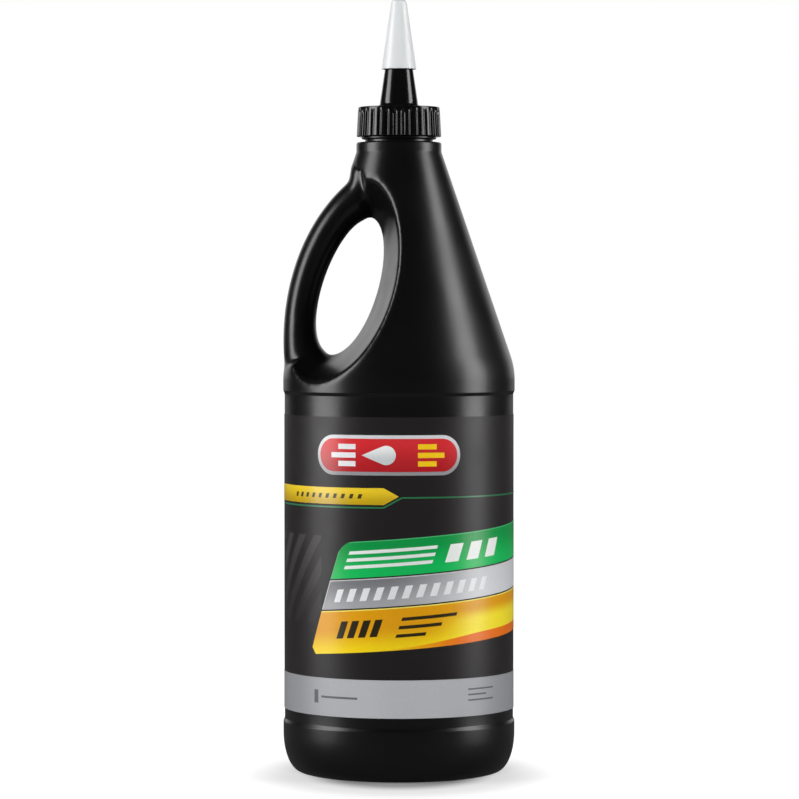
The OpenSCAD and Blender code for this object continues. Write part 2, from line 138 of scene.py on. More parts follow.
def spread(points, most):
    # puts more points on the long straight runs of a profile
    out = [points[0]]
    for a, b in zip(points, points[1:]):
        n = max(1, math.ceil(math.dist(a, b) / most))
        out += [(a[0] + (b[0] - a[0]) * k / n, a[1] + (b[1] - a[1]) * k / n) for k in range(1, n + 1)]
    return out


def turnProfile(name, points, steps, outward=True):
    # a profile drawn point by point in the XZ plane, then spun round the axis
    deselectAll()
    bpy.ops.mesh.primitive_plane_add(size=mm, location=(0, 0, 0))
    piece = bpy.context.object
    piece.name = name
    editAll(piece)
    bpy.ops.mesh.merge(type="CENTER")
    bpy.ops.transform.translate(value=(points[0][0] * mm, 0, points[0][1] * mm))
    for a, b in zip(points, points[1:]):
        step = ((b[0] - a[0]) * mm, 0, (b[1] - a[1]) * mm)
        bpy.ops.mesh.extrude_region_move(TRANSFORM_OT_translate={"value": step})
    bpy.ops.mesh.select_all(action="SELECT")
    bpy.ops.mesh.spin(steps=steps, angle=2 * math.pi, center=(0, 0, 0), axis=(0, 0, 1))
    leaveEdit()
    cleanUp(piece, outward=outward)
    return piece


def loftRings(name, rings, capped=True):
    # a loft between rings that lean and swell, with each point joined to its own next one
    mesh = bpy.data.meshes.new(name)
    piece = bpy.data.objects.new(name, mesh)
    bpy.context.scene.collection.objects.link(piece)
    work = bmesh.new()
    made = [[work.verts.new(Vector(p) * mm) for p in ring] for ring in rings]
    for lower, upper in zip(made, made[1:]):
        for i in range(len(lower)):
            j = (i + 1) % len(lower)
            work.faces.new((lower[i], lower[j], upper[j], upper[i]))
    if capped:
        work.faces.new(list(reversed(made[0])))
        work.faces.new(made[-1])
    bmesh.ops.recalc_face_normals(work, faces=work.faces[:])
    work.to_mesh(mesh)
    work.free()
    return piece


def leaningOval(form, t, grow=0.0):
    a, lean = math.radians(t), math.radians(form["lean"])
    u = (form["half"] + grow) * math.cos(a)
    v = (form["width"] + grow) * math.sin(a) * (1 - form["egg"] * math.cos(a))
    return (form["x"] + u * math.sin(lean) - v * math.cos(lean), form["z"] + u * math.cos(lean) + v * math.sin(lean))


def coneRadius(z, inside=0.0):
    # radius of the band, its rounding and the cone at a height
    bend = body["shoulderR"] - inside
    endR = body["bodyR"] - body["shoulderR"] + bend * math.cos(coneSlope)
    endZ = body["shoulderZ"] + bend * math.sin(coneSlope)
    if z <= body["shoulderZ"]:
        return body["bodyR"] - inside
    if z <= endZ:
        return body["bodyR"] - body["shoulderR"] + math.sqrt(bend ** 2 - (z - body["shoulderZ"]) ** 2)
    return endR - (z - endZ) * math.tan(coneSlope)


def handleRing(p, q, half, inside):
    px, pz = p
    qx, qz = q
    length = math.hypot(qx - px, qz - pz)
    ux, uz = (qx - px) / length, (qz - pz) / length
    a, b = length / 2 - inside, half - inside
    return [((px + qx) / 2 + ux * a * math.cos(f), b * math.sin(f), (pz + qz) / 2 + uz * a * math.cos(f))
            for f in [2 * math.pi * j / handle["sides"] for j in range(handle["sides"])]]


def bowPoint(t):
    s = math.radians(63 - 0.4467 * t)
    return handle["bowX"] - handle["bowW"] * math.cos(s), handle["bowZ"] + handle["bowH"] * math.sin(s)


def shift(p, dx, dz):
    return p[0] + dx, p[1] + dz


def cutWith(piece, tool, operation):
    activate(piece)
    bpy.ops.object.modifier_add(type="BOOLEAN")
    piece.modifiers[-1].object = tool
    piece.modifiers[-1].operation = operation
    piece.modifiers[-1].solver = "EXACT"
    applyAll(piece)
    bpy.data.objects.remove(tool)


def holeAxis(u):
    lean = math.radians(hole["lean"])
    return hole["x"] + u * math.sin(lean), hole["z"] + u * math.cos(lean)


def archedRecess(lining):
    # the recess that the handle stands in: a floor drawn in the parting plane, under an arch seen from the handle's side
    top, foot = arch["top"], arch["foot"]
    high, low = holeAxis(hole["half"] * arch["share"]), holeAxis(-hole["half"] * arch["share"])
    side = [(high[0] + lining, high[1]), (arch["floorIn"] - coneRadius(top) + lining, top + lining), (-86.4, top + lining),
            (-86.4, foot - lining), (-43.2, foot - lining), (low[0] + lining, low[1])]
    recess = loftRings("recessFloor", [[(x, y, z) for x, z in side] for y in (-mouth["y"], mouth["y"])])
    w, h = arch["halfW"] + lining, arch["height"] + lining
    front = arcPoints(0, top - arch["height"], w, h, 0, 180, 72) + [(-w, 140.8), (w, 140.8)]
    cutWith(recess, loftRings("recessArch", [[(x, y, z) for y, z in front] for x in (0, -90)]), "INTERSECT")
    return recess


def handleTube(inside):
    tube = []
    p = leaningOval(hole, handle["first"])
    nub = (handle["nubIn"] - coneRadius(arch["top"]), arch["top"])
    tube.append(handleRing(shift(p, 9, 12), shift(nub, 9, 2), handle["depth"] / 2 - 1, inside))
    tube.append(handleRing(shift(p, 4, 9), nub, handle["depth"] / 2 - 1, inside))
    for i in range(handle["rings"] + 1):
        t = handle["first"] + (handle["last"] - handle["first"]) * i / handle["rings"]
        half = handle["depth"] / 2 + handle["flare"] / 2 * max(0, (t - 90) / 90) ** 2
        tube.append(handleRing(leaningOval(hole, t, -handle["lip"]), bowPoint(t), half, inside))
    p, q = leaningOval(hole, handle["last"]), bowPoint(handle["last"])
    tube.append(handleRing(shift(p, 4, -9), shift(q, 9, -4), handle["depth"] / 2, inside))
    return loftRings("handleTube", tube)


def shoulderSkin(name, inside, lining, voxel, rounds):
    # cone and handle in one skin: turned cone, pocket cut away, handle run in, edges softened as blowing leaves them
    low, high = 139.0, 233.0
    heights = [low + (high - low) * k / 64 for k in range(65)]
    outline = [(0, low)] + [(coneRadius(z, inside), z) for z in heights] + [(0, high)]
    skin = turnProfile(name, outline, body["steps"])
    ovals = []
    for side in (1, 0, -1):
        form = hole if side == 0 else mouth
        ovals.append([(x, side * mouth["y"], z) for x, z in [leaningOval(form, 360 * i / 144, lining) for i in range(144)]])
    cutWith(skin, loftRings("pocketCutter", ovals), "DIFFERENCE")
    cutWith(skin, archedRecess(lining), "DIFFERENCE")
    cutWith(skin, handleTube(inside), "UNION")
    activate(skin)
    bpy.ops.object.modifier_add(type="REMESH")
    skin.modifiers[-1].mode = "VOXEL"
    skin.modifiers[-1].voxel_size = voxel * mm
    applyAll(skin)
    # the turned part keeps its true radius; the softening grows towards the edges of the recess and the handle
    points = skin.data.vertices
    away = [abs(math.hypot(v.co.x, v.co.y) / mm - coneRadius(v.co.z / mm, inside)) for v in points]
    loose = [v.index for v in points if away[v.index] > 0.12 and 140.0 < v.co.z / mm < 232.0]
    tree = KDTree(len(loose))
    for i in loose:
        tree.insert(points[i].co, i)
    tree.balance()
    weights = []
    for v in points:
        weights.append(1.0)
        if away[v.index] <= 0.12:
            weights[-1] = 1 - ramp01((tree.find(v.co)[2] / mm - 1.0) / 3.0)
            r = math.hypot(v.co.x, v.co.y) / mm
            v.co.x *= coneRadius(v.co.z / mm, inside) / r
            v.co.y *= coneRadius(v.co.z / mm, inside) / r
    mark = skin.data.attributes.new("blown", "FLOAT", "POINT")
    mark.data.foreach_set("value", [2 - weight for weight in weights])
    group = skin.vertex_groups.new(name="soft")
    for i, weight in enumerate(weights):
        group.add([i], weight, "REPLACE")
    bpy.ops.object.modifier_add(type="SMOOTH")
    skin.modifiers[-1].factor = 0.5
    skin.modifiers[-1].iterations = rounds
    skin.modifiers[-1].vertex_group = "soft"
    applyAll(skin)
    skin.vertex_groups.clear()
    return skin


def cutLevel(piece, z, keepAbove):
    editAll(piece)
    bpy.ops.mesh.bisect(plane_co=(0, 0, z * mm), plane_no=(0, 0, 1), clear_inner=keepAbove, clear_outer=not keepAbove)
    bpy.ops.mesh.remove_doubles(threshold=0.1 * mm)  # the cut ring only
    leaveEdit()


def bridgeGap(piece, low, high, least, most):
    editAll(piece)
    bpy.ops.mesh.select_all(action="DESELECT")
    work = bmesh.from_edit_mesh(piece.data)
    for edge in work.edges:
        level = all(low * mm < v.co.z < high * mm for v in edge.verts)
        reach = all(least * mm < math.hypot(v.co.x, v.co.y) < most * mm for v in edge.verts)
        if edge.is_boundary and level and reach:
            edge.select = True
    bmesh.update_edit_mesh(piece.data)
    bpy.ops.mesh.bridge_edge_loops()
    leaveEdit()


def blownNormals(piece):
    # the blown skin has no hard edge, and where it is a true cone it shades as one
    mesh = piece.data
    mark = [item.value for item in mesh.attributes["blown"].data]
    for edge in mesh.edges:
        if min(mark[edge.vertices[0]], mark[edge.vertices[1]]) > 0.9:
            edge.use_edge_sharp = False
    normals = [item.vector.copy() for item in mesh.corner_normals]
    up = math.sin(coneSlope)
    for loop in mesh.loops:
        v = mesh.vertices[loop.vertex_index]
        share = mark[v.index] - 1
        r = math.hypot(v.co.x, v.co.y)
        if share <= 0 or normals[loop.index].dot(Vector((v.co.x, v.co.y, 0))) < 0:
            continue
        rise = min(up, max(0.0, (v.co.z / mm - body["shoulderZ"]) / body["shoulderR"]))
        flat = math.sqrt(1 - rise * rise)
        true = Vector((v.co.x / r * flat, v.co.y / r * flat, rise))
        normals[loop.index] = normals[loop.index].lerp(true, min(1.0, share)).normalized()
    mesh.normals_split_custom_set(normals)


def helixRidge(name, root, crest, start, turns, z):
    side = 1 if crest > root else -1
    crestW, rootW = thread["crestW"], thread["rootW"]
    count = int(turns * 40)
    rings = []
    for i in range(count + 1):
        a = math.radians(start + 360 * turns * i / count)
        f = max(0.04, min(1.0, i / 5, (count - i) / 5))
        tip = root + (crest - root) * f
        halfTip = (crestW + (rootW - crestW) * (1 - f)) / 2
        h = z + thread["pitch"] * math.degrees(a) / 360
        flank = tip - side * 0.15 * f
        points = [(root - side * 0.3, -rootW / 2), (root, -rootW / 2 + 0.06), (flank, -halfTip - 0.05),
                  (tip, -halfTip + 0.12), (tip, halfTip - 0.12), (flank, halfTip + 0.05),
                  (root, rootW / 2 - 0.06), (root - side * 0.3, rootW / 2)]
        rings.append([(r * math.cos(a), r * math.sin(a), h + dz) for r, dz in points])
    return loftRings(name, rings)


# node helpers
def newMaterial(name):
    material = bpy.data.materials.new(name)
    material.use_nodes = True
    tree = material.node_tree
    tree.nodes.clear()
    out = tree.nodes.new("ShaderNodeOutputMaterial")
    shader = tree.nodes.new("ShaderNodeBsdfPrincipled")
    tree.links.new(shader.outputs["BSDF"], out.inputs["Surface"])
    return material, tree, shader


def put(tree, socket, value):
    if isinstance(value, bpy.types.NodeSocket):
        tree.links.new(value, socket)
    else:
        socket.default_value = value


def calc(tree, operation, a, b=0.0, c=None, clamp=False):
    node = tree.nodes.new("ShaderNodeMath")
    node.operation = operation
    node.use_clamp = clamp
    put(tree, node.inputs[0], a)
    put(tree, node.inputs[1], b)
    if c is not None:
        put(tree, node.inputs[2], c)
    return node.outputs[0]


def blendColor(tree, share, first, second, mode="MIX"):
    node = tree.nodes.new("ShaderNodeMix")
    node.data_type = "RGBA"
    node.blend_type = mode
    put(tree, node.inputs[0], share)
    put(tree, node.inputs[6], first)
    put(tree, node.inputs[7], second)
    return node.outputs[2]


def ramp(tree, value, low, high, a=0.0, b=1.0, smooth=True):
    node = tree.nodes.new("ShaderNodeMapRange")
    node.interpolation_type = "SMOOTHSTEP" if smooth else "LINEAR"
    for i, v in enumerate((value, low, high, a, b)):
        put(tree, node.inputs[i], v)
    return node.outputs[0]


def objectPoint(tree):
    node = tree.nodes.new("ShaderNodeTexCoord")
    split = tree.nodes.new("ShaderNodeSeparateXYZ")
    tree.links.new(node.outputs["Object"], split.inputs[0])
    return node.outputs["Object"], split.outputs


def noise(tree, scale, detail=2.0, rough=0.5, stretch=None):
    point, parts = objectPoint(tree)
    node = tree.nodes.new("ShaderNodeTexNoise")
    node.inputs["Scale"].default_value = scale
    node.inputs["Detail"].default_value = detail
    node.inputs["Roughness"].default_value = rough
    if stretch:
        mapping = tree.nodes.new("ShaderNodeMapping")
        mapping.inputs["Scale"].default_value = stretch
        tree.links.new(point, mapping.inputs[0])
        point = mapping.outputs[0]
    tree.links.new(point, node.inputs["Vector"])
    return node.outputs["Fac"]


def bump(tree, shader, height, distance, strength=1.0):
    node = tree.nodes.new("ShaderNodeBump")
    node.inputs["Strength"].default_value = strength
    node.inputs["Distance"].default_value = distance
    tree.links.new(height, node.inputs["Height"])
    tree.links.new(node.outputs[0], shader.inputs["Normal"])


def srgb(r, g, b):
    def line(v):
        v = v / 255
        return v / 12.92 if v <= 0.04045 else ((v + 0.055) / 1.055) ** 2.4
    return line(r), line(g), line(b), 1.0


def plastic(name, color, shade, rough, roughSpread, grain, grainScale, grainDepth, ior=1.5):
    # moulded plastic: slow colour drift, uneven gloss and a fine moulded skin
    material, tree, shader = newMaterial(name)
    drift = noise(tree, 35, 3)
    put(tree, shader.inputs["Base Color"], blendColor(tree, drift, color, shade))
    put(tree, shader.inputs["Roughness"], ramp(tree, noise(tree, 60, 4), 0.3, 0.7, rough - roughSpread, rough + roughSpread))
    shader.inputs["IOR"].default_value = ior
    coarse = noise(tree, grainScale, 3)
    fine = noise(tree, grainScale * 6, 2)
    bump(tree, shader, calc(tree, "ADD", coarse, calc(tree, "MULTIPLY", fine, grain)), grainDepth * mm)
    return material, tree, shader


# bottle, blown black polyethylene
bottleLook = {"color": srgb(9, 9, 9), "shade": srgb(7, 7, 7), "rough": 0.3, "roughSpread": 0.02,
              "grain": 0.25, "grainScale": 420, "grainDepth": 0.015, "voxel": 0.8, "softening": 26}

lowerOutline = rounded([(0, 3.4), (28.6, 3.4, 3), (33.4, 0, 1.2), (36.6, 0)], 6)
big, small = body["bodyR"], body["panelR"]
lowerOutline += arcPoints(36.6, 14.6, big - 36.6, 14.6, -88, 0, 24)
lowerOutline += rounded([(big, 15.2), (big, 18.8, 1.0), (small, 20, 1.0), (small, 24)], 5)
lowerOutline += [(small, z) for z in (40, 60, 80, 100, 120, 136)]
lowerOutline += rounded([(small, 138), (small, 140.8, 0.8), (big - 0.1, 141.8)], 5)
lowerOuter = turnProfile("lowerOuter", lowerOutline, body["steps"])
w = body["wall"]
innerOutline = rounded([(0, 4.4), (28.4, 4.4, 3), (33.0, 1.2, 1), (36.6, 1.0)], 4)
innerOutline += arcPoints(36.6, 14.6, 5.6, 13.6, -88, 0, 16)
innerOutline += [(42.2, 18.8)] + [(small - w, z) for z in (20, 60, 100, 140.8)] + [(42.2, 142.0), (42.2, 142.8)]
lowerInner = turnProfile("lowerInner", innerOutline, 96, outward=False)
r, neckR, ledgeR, boreR = body["collarR"], body["neckR"], body["ledgeR"], body["boreR"]
topOutline = [(coneRadius(collarZ - 0.3), collarZ - 0.3)] + rounded([
    (coneRadius(collarZ - 0.2), collarZ - 0.2), (r, collarZ + 0.3, 0.8), (r, landZ, 0.9), (neckR, landZ, 0.3),
    (neckR, landZ + 0.9, 0.1), (ledgeR, landZ + 1.28, 0.25), (ledgeR, landZ + 2, 0.25), (neckR, landZ + 2, 0.25),
    (neckR, neckTop, 0.35), (boreR, neckTop, 0.35), (boreR, landZ - 0.8, 0.6), (r - 1.3, landZ - 1.6, 0.6),
    (r - 1, collarZ - 0.2, 0.5), (coneRadius(collarZ - 1.5, w), collarZ - 1.5)], 5)
topPart = turnProfile("topPart", spread(topOutline, 3.5), body["steps"], outward=False)
outerSkin = shoulderSkin("outerSkin", 0.0, 0.0, bottleLook["voxel"], bottleLook["softening"])
innerSkin = shoulderSkin("innerSkin", w, 1.2, 1.5, 2)
cutLevel(outerSkin, 142.1, True)
cutLevel(outerSkin, collarZ - 0.5, False)
cutLevel(innerSkin, 143.2, True)
cutLevel(innerSkin, collarZ - 1.9, False)
bottleShell = joinPieces(lowerOuter, [outerSkin, topPart, innerSkin, lowerInner])
bridgeGap(bottleShell, 141.7, 142.3, 42.7, 44)
bridgeGap(bottleShell, 142.6, 143.4, 41.5, 42.6)
bridgeGap(bottleShell, collarZ - 0.7, collarZ - 0.25, 15.7, 17)
bridgeGap(bottleShell, collarZ - 2.1, collarZ - 1.4, 14, 15.7)
cleanUp(bottleShell, 0.001)
neckThread = helixRidge("neckThread", body["neckR"], thread["neckR"], 0, 1.25, landZ + thread["up"])
joinPieces(bottleShell, [neckThread])
bottleShell.name = "bottleShell"
smoothShade(bottleShell, 40)
blownNormals(bottleShell)
material, tree, shader = plastic("blownBlackPolyethylene", bottleLook["color"], bottleLook["shade"], bottleLook["rough"],
                                 bottleLook["roughSpread"], bottleLook["grain"], bottleLook["grainScale"], bottleLook["grainDepth"])
bottleShell.data.materials.clear()
bottleShell.data.materials.append(material)
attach(bottleShell, "bottle")
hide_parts("bottle")
print("stage: bottle,", sum(len(face.vertices) - 2 for face in bottleShell.data.polygons), "triangles")

# closure with its spout, gloss black
closureLook = {"color": srgb(10, 10, 11), "shade": srgb(8, 8, 8), "rough": 0.16, "roughSpread": 0.03,
               "grain": 0.3, "grainScale": 260, "grainDepth": 0.012, "ribs": 32, "perRib": 16,
               "grooveR": 0.82, "grooveD": 0.6, "height": 11.0, "rim": 1.3, "top": 1.3, "spoutR": 7.3, "spoutL": 37.6, "slope": 8.3}
washerTop = neckTop + 1.0
spoutZ = washerTop + closureLook["top"]
spoutTip = spoutZ + closureLook["spoutL"]
skirtZ = spoutZ - closureLook["height"]
grooveTop = spoutZ - closureLook["rim"]


def spoutRadius(z):
    return closureLook["spoutR"] - (z - spoutZ) * math.tan(math.radians(closureLook["slope"]))


bore = closureLook["spoutR"] - 0.95
skirtR = thread["skirtR"]
closureOutline = rounded([
    (skirtR, skirtZ + 5), (skirtR, skirtZ, 0.3), (15.74, skirtZ, 0.3), (15.15, spoutZ, 0.45),
    (closureLook["spoutR"] + 0.8, spoutZ, 0.9),
    (spoutRadius(spoutZ + 1), spoutZ + 1), (spoutRadius(spoutTip), spoutTip, 0.25), (spoutRadius(spoutTip) - 0.95, spoutTip, 0.25),
    (bore, spoutZ, 0.3), (bore, washerTop, 0.3), (skirtR, washerTop, 0.5), (skirtR, skirtZ + 5)], 5)
pouringClosure = turnProfile("pouringClosure", spread(closureOutline, 1.0), closureLook["ribs"] * closureLook["perRib"])
for v in pouringClosure.data.vertices:
    r = math.hypot(v.co.x, v.co.y) / mm
    z = v.co.z / mm
    if r > 15.0 and z < grooveTop + 0.01:
        pitchAngle = 2 * math.pi / closureLook["ribs"]
        a = (math.atan2(v.co.y, v.co.x) % pitchAngle) - pitchAngle / 2  # a groove's middle lies half a pitch on
        across = abs(a) * r
        cut = math.sqrt(max(0.0, closureLook["grooveR"] ** 2 - across ** 2)) - (closureLook["grooveR"] - closureLook["grooveD"])
        cut = max(0.0, cut) * min(1.0, max(0.0, (grooveTop - z) / 0.4))
        if cut > 0:
            v.co.x *= (r - cut) / r
            v.co.y *= (r - cut) / r
threadZ = landZ + thread["up"] - thread["pitch"] / 2
closureThread = helixRidge("closureThread", skirtR, thread["closureR"], 105, 1.5, threadZ)
joinPieces(pouringClosure, [closureThread])
smoothShade(pouringClosure, 45)
material, tree, shader = plastic("mouldedGlossBlack", closureLook["color"], closureLook["shade"], closureLook["rough"],
                                 closureLook["roughSpread"], closureLook["grain"], closureLook["grainScale"], closureLook["grainDepth"])
pouringClosure.data.materials.clear()
pouringClosure.data.materials.append(material)
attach(pouringClosure, "closure")
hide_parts("spout_closure")
print("stage: closure")

# tip cap, natural polyethylene
capLook = {"color": srgb(224, 226, 226), "shade": srgb(216, 219, 220), "rough": 0.34, "wall": 1.2516, "grip": 0.1516}
capFoot, capInside = spoutZ + 14.1, spoutTip + 0.3
capTop = capInside + 2
capOutline = rounded([
    (0, capTop), (spoutRadius(capTop) + capLook["wall"], capTop, 1.3), (spoutRadius(capFoot + 1) + capLook["wall"], capFoot + 1, 0.3),
    (spoutRadius(capFoot) + capLook["wall"], capFoot, 0.25), (spoutRadius(capFoot) + capLook["grip"], capFoot, 0.25),
    (spoutRadius(capInside) + capLook["grip"], capInside, 0.3), (0, capInside)], 6)
tipCone = turnProfile("tipCone", spread(capOutline, 1.6), 128)
smoothShade(tipCone, 40)
material, tree, shader = newMaterial("naturalPolyethylene")
shader.inputs["Subsurface Weight"].default_value = 0.2
shader.inputs["Subsurface Radius"].default_value = (1.0, 1.0, 1.0)
shader.inputs["Subsurface Scale"].default_value = 1.2 * mm
put(tree, shader.inputs["Base Color"], blendColor(tree, noise(tree, 90, 3), capLook["color"], capLook["shade"]))
put(tree, shader.inputs["Roughness"], ramp(tree, noise(tree, 150, 3), 0.3, 0.7, capLook["rough"] - 0.04, capLook["rough"] + 0.04))
bump(tree, shader, noise(tree, 500, 3), 0.012 * mm)
tipCone.data.materials.append(material)
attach(tipCone, "cap")
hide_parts("tip_cap")
print("stage: tip cap")

# sealing washer, closed-cell foam
low, high = neckTop + 0.02, washerTop - 0.04
washerOutline = rounded([(10, low), (13.65, low, 0.2), (13.65, high, 0.2), (6.6, high, 0.2), (6.6, low, 0.2), (10, low)], 4)
foamWasher = turnProfile("foamWasher", washerOutline, 96)
smoothShade(foamWasher, 40)
material, tree, shader = newMaterial("closedCellFoam")
cells = tree.nodes.new("ShaderNodeTexVoronoi")
cells.inputs["Scale"].default_value = 3500
put(tree, cells.inputs["Vector"], objectPoint(tree)[0])
put(tree, shader.inputs["Base Color"], blendColor(tree, cells.outputs["Distance"], srgb(220, 218, 210), srgb(196, 194, 186)))
put(tree, shader.inputs["Roughness"], ramp(tree, cells.outputs["Distance"], 0, 1, 0.6, 0.8))
bump(tree, shader, cells.outputs["Distance"], 0.05 * mm)
foamWasher.data.materials.append(material)
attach(foamWasher, "washer")
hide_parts("sealing_washer")

# oil, the filled level inside the bottle
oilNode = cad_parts["oil"]
material, tree, shader = newMaterial("amberOil")
shader.inputs["Transmission Weight"].default_value = 0.85
shader.inputs["IOR"].default_value = 1.47
put(tree, shader.inputs["Base Color"], blendColor(tree, noise(tree, 12, 2), srgb(205, 140, 45), srgb(190, 122, 32)))
put(tree, shader.inputs["Roughness"], ramp(tree, noise(tree, 20, 2), 0.3, 0.7, 0.02, 0.05))
oilNode.data.materials.clear()
oilNode.data.materials.append(material)
print("stage: washer and oil")

# label: one wrapped film, with its print in fields
label = {"filmR": 42.68, "filmT": 0.12, "foot": 23.9, "height": 109.4, "printR": 42.8, "lap": 9.0, "slice": 1.5,
         "inkT": 0.045, "gap": 0.02, "slope": 4.2, "lean": 0.36, "stackUp": 24.9, "stackLeft": -36.4}
backEdge = math.pi * label["printR"] - label["lap"] / 2 - 1


def wrapFilm():
    # the sheet goes once round and its end lies over its start at the back
    deselectAll()
    bpy.ops.mesh.primitive_plane_add(size=1, location=(0, 0, 0), rotation=(math.pi / 2, 0, 0))
    film = bpy.context.object
    film.name = "labelFilm"
    bpy.ops.object.transform_apply(location=True, rotation=True, scale=True)
    start = -math.pi * label["printR"] - label["lap"] / 2
    end = math.pi * label["printR"] + label["lap"] / 2
    for v in film.data.vertices:
        v.co.x = (start if v.co.x < 0 else end) * mm
        v.co.z = (0 if v.co.z < 0 else label["height"]) * mm
    editAll(film)
    for k in range(1, 280):
        bpy.ops.mesh.select_all(action="SELECT")
        bpy.ops.mesh.bisect(plane_co=((start + (end - start) * k / 280) * mm, 0, 0), plane_no=(1, 0, 0))
    leaveEdit()
    for v in film.data.vertices:
        s = v.co.x / mm
        over = ramp01((s - (end - label["lap"] - 4)) / 4)
        r = label["filmR"] + label["filmT"] / 2 + (label["filmT"] + 0.01) * over
        a = s / label["printR"] - math.pi / 2
        v.co = Vector((r * math.cos(a), r * math.sin(a), label["foot"] + v.co.z / mm)) * mm
    faceOut(film)
    activate(film)
    bpy.ops.object.modifier_add(type="SOLIDIFY")
    film.modifiers[-1].thickness = label["filmT"] * mm
    film.modifiers[-1].offset = 0
    applyAll(film)
    return film


def faceOut(piece):
    face = piece.data.polygons[len(piece.data.polygons) // 2]
    if face.normal.dot(Vector((face.center.x, face.center.y, 0))) < 0:
        editAll(piece)
        bpy.ops.mesh.flip_normals()
        leaveEdit()


def printField(name, corners, layer, roundings=None):
    # a flat field of ink: its corners placed and rounded, sliced upright and wrapped on the film
    deselectAll()
    bpy.ops.mesh.primitive_circle_add(vertices=len(corners), radius=0.01, fill_type="NGON")
    field = bpy.context.object
    field.name = name
    for v, (s, h) in zip(field.data.vertices, corners):
        v.co = (s * mm, 0, h * mm)
    if roundings:
        for i, rounding in enumerate(roundings):
            if not rounding:
                continue
            editAll(field)
            bpy.ops.mesh.select_all(action="DESELECT")
            work = bmesh.from_edit_mesh(field.data)
            spot = Vector((corners[i][0] * mm, 0, corners[i][1] * mm))
            for v in work.verts:
                if (v.co - spot).length < 0.01 * mm:
                    v.select = True
            work.select_flush(True)
            bmesh.update_edit_mesh(field.data)
            bpy.ops.mesh.bevel(offset=rounding * mm, segments=12, affect="VERTICES")
            leaveEdit()
    low = min(s for s, h in corners)
    high = max(s for s, h in corners)
    editAll(field)
    count = int((high - low) / label["slice"])
    for k in range(1, count + 1):
        s = low + (high - low) * k / (count + 1)
        bpy.ops.mesh.select_all(action="SELECT")
        bpy.ops.mesh.bisect(plane_co=(s * mm, 0, 0), plane_no=(1, 0, 0))
    leaveEdit()
    r = label["printR"] + label["gap"] + layer * (label["inkT"] + label["gap"])
    for v in field.data.vertices:
        a = v.co.x / mm / label["printR"] - math.pi / 2
        v.co = Vector((r * math.cos(a), r * math.sin(a), label["foot"] + v.co.z / mm)) * mm
    faceOut(field)
    activate(field)
    bpy.ops.object.modifier_add(type="SOLIDIFY")
    field.modifiers[-1].thickness = label["inkT"] * mm
    field.modifiers[-1].offset = 1
    applyAll(field)
    return field


def labelPoint(tree):
    # lengths round the bottle from the front and heights above the film's foot, both in millimetres
    parts = objectPoint(tree)[1]
    around = calc(tree, "ARCTAN2", parts[0], calc(tree, "MULTIPLY", parts[1], -1.0))
    return calc(tree, "MULTIPLY", around, label["printR"]), calc(tree, "MULTIPLY_ADD", parts[2], 1000.0, -label["foot"])


def stackPoint(tree, low):
    # the same point seen along the slope of the three panels
    s, h = labelPoint(tree)
    up = calc(tree, "SUBTRACT", calc(tree, "SUBTRACT", h, calc(tree, "MULTIPLY", s, math.tan(math.radians(label["slope"])))), low)
    return calc(tree, "SUBTRACT", s, calc(tree, "MULTIPLY", up, label["lean"])), up


def bar(tree, s, h, left, right, foot, top):
    wide = calc(tree, "MULTIPLY", calc(tree, "GREATER_THAN", s, left), calc(tree, "LESS_THAN", s, right))
    tall = calc(tree, "MULTIPLY", calc(tree, "GREATER_THAN", h, foot), calc(tree, "LESS_THAN", h, top))
    return calc(tree, "MULTIPLY", wide, tall)


def anyOf(tree, masks):
    found = masks[0]
    for mask in masks[1:]:
        found = calc(tree, "MAXIMUM", found, mask)
    return found


def inkFinish(tree, shader, color, rough=0.3):
    # screened ink: a faint dot pattern in the gloss and a trace of the film's waviness
    tone = ramp(tree, noise(tree, 900, 2), 0.3, 0.7, 0.97, 1.0)
    gray = tree.nodes.new("ShaderNodeCombineColor")
    for i in range(3):
        tree.links.new(tone, gray.inputs[i])
    put(tree, shader.inputs["Base Color"], blendColor(tree, 1.0, color, gray.outputs[0], "MULTIPLY"))
    put(tree, shader.inputs["Roughness"], ramp(tree, noise(tree, 120, 3), 0.3, 0.7, rough - 0.02, rough + 0.02))
    bump(tree, shader, noise(tree, 70, 2), 0.012 * mm)


def dress(piece, material, node):
    smoothShade(piece, 30)
    piece.data.materials.clear()
    piece.data.materials.append(material)
    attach(piece, "bottle")
    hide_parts(node)


filmLook = {"color": srgb(31, 27, 28), "faint": srgb(60, 57, 58), "rough": 0.4, "ior": 1.42}
labelFilm = wrapFilm()
material, tree, shader = newMaterial("printedFilm")
s, h = labelPoint(tree)
wave = calc(tree, "FRACT", calc(tree, "MULTIPLY", calc(tree, "ADD", s, calc(tree, "MULTIPLY", h, -0.7)), 1 / 9.0))
stripes = calc(tree, "LESS_THAN", wave, 0.5)
place = calc(tree, "MULTIPLY", bar(tree, s, h, -60, -31, 34, 66), ramp(tree, h, 34, 66, 0.25, 1.0))
filmColor = blendColor(tree, calc(tree, "MULTIPLY", stripes, place), filmLook["color"], filmLook["faint"])
inkFinish(tree, shader, filmColor, filmLook["rough"])
shader.inputs["IOR"].default_value = filmLook["ior"]
dress(labelFilm, material, "label_film")

